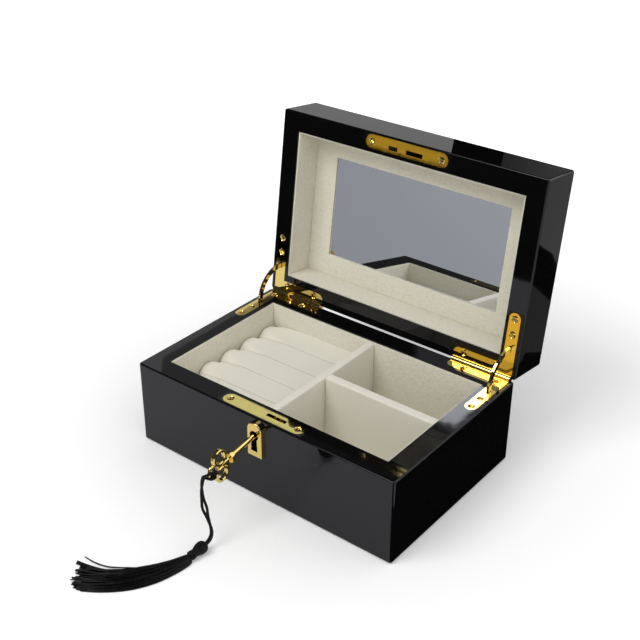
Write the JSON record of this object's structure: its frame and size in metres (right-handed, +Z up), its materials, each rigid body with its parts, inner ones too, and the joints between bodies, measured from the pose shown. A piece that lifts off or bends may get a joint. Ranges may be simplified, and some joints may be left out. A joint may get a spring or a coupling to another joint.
{
  "type": "jewelry box",
  "caption": "Hinged lacquered box with a mirror in its lid, lined compartments and ring rolls, and a front lock with its key and tassel.",
  "frame": {"origin": "centre of the underside, on the surface that the box stands on", "axes": "+X to the right seen from the front, -Y to the front where the lock is, +Z up"},
  "size_m": [0.2, 0.3109, 0.1892],
  "materials": {
    "black_lacquer": "black piano lacquer",
    "ivory_lining": "matte leatherette",
    "ivory_padding": "soft leatherette over foam",
    "gold_brass": "polished gold plate",
    "mirror_silver": "silvered glass",
    "backing_board": "raw board",
    "black_felt": "felt",
    "black_cord": "rayon thread"
  },
  "bodies": {
    "base": {"base_back_wall": "black_lacquer", "base_floor_panel": "black_lacquer", "base_front_wall": "black_lacquer", "base_left_wall": "black_lacquer", "base_liner_back": "ivory_lining", "base_liner_floor": "ivory_lining", "base_liner_front": "ivory_lining", "base_liner_left": "ivory_lining", "base_liner_right": "ivory_lining", "base_right_wall": "black_lacquer", "centre_divider": "ivory_padding", "cross_divider": "ivory_padding", "keyhole_escutcheon": "gold_brass", "left_hinge_base_leaf": "gold_brass", "left_hinge_base_screws": "gold_brass", "left_hinge_pin": "gold_brass", "lock_case": "gold_brass", "lock_drill_pin": "gold_brass", "lock_hook_pin": "gold_brass", "lock_plate": "gold_brass", "lock_plate_screws": "gold_brass", "right_hinge_base_leaf": "gold_brass", "right_hinge_base_screws": "gold_brass", "right_hinge_pin": "gold_brass", "ring_bed": "ivory_padding", "ring_roll_1": "ivory_padding", "ring_roll_2": "ivory_padding", "ring_roll_3": "ivory_padding", "ring_roll_4": "ivory_padding", "ring_roll_5": "ivory_padding", "tassel_cord": "black_cord", "tassel_head": "black_cord", "tassel_skirt": "black_cord", "underside_felt": "black_felt"},
    "lid": {"left_hinge_lid_leaf": "gold_brass", "left_hinge_lid_screws": "gold_brass", "lid_back_wall": "black_lacquer", "lid_front_wall": "black_lacquer", "lid_left_wall": "black_lacquer", "lid_liner_back": "ivory_lining", "lid_liner_front": "ivory_lining", "lid_liner_left": "ivory_lining", "lid_liner_right": "ivory_lining", "lid_right_wall": "black_lacquer", "lid_top_panel": "black_lacquer", "mirror_carrier": "backing_board", "mirror_glass": "mirror_silver", "mirror_surround": "ivory_lining", "right_hinge_lid_leaf": "gold_brass", "right_hinge_lid_screws": "gold_brass", "striker_plate": "gold_brass", "striker_screws": "gold_brass"},
    "left_stay": {"left_hinge_stay": "gold_brass"},
    "right_stay": {"right_hinge_stay": "gold_brass"},
    "key": {"cord_hitch": "black_cord", "key": "gold_brass"},
    "lock_hook": {"lock_hook": "gold_brass"}
  },
  "joints": [
    {"name": "lid_hinge", "type": "hinge", "parent": "base", "child": "lid", "pos_m": [0, 0.0657, 0.0593], "axis": [1, 0, 0], "range_deg": [0, 97.5]},
    {"name": "left_stay_turn", "type": "hinge", "parent": "base", "child": "left_stay", "pos_m": [0, 0.0657, 0.0593], "axis": [1, 0, 0], "range_deg": [0, 48.75]},
    {"name": "right_stay_turn", "type": "hinge", "parent": "base", "child": "right_stay", "pos_m": [0, 0.0657, 0.0593], "axis": [1, 0, 0], "range_deg": [0, 48.75]},
    {"name": "key_turn", "type": "hinge", "parent": "base", "child": "key", "pos_m": [0, -0.0681, 0.0475], "axis": [0, -0.9903, -0.1392], "range_deg": [0, 90], "deforming": ["tassel_cord"]},
    {"name": "lock_hook_swing", "type": "hinge", "parent": "base", "child": "lock_hook", "pos_m": [0.0034, -0.0582, 0.0532], "axis": [0, -1, 0], "range_deg": [0, 85]}
  ],
  "couplings": [
    {"joint": "left_stay_turn", "follows": "lid_hinge", "ratio": 0.5},
    {"joint": "right_stay_turn", "follows": "lid_hinge", "ratio": 0.5},
    {"joint": "lock_hook_swing", "follows": "key_turn", "ratio": 0.9444}
  ]
}
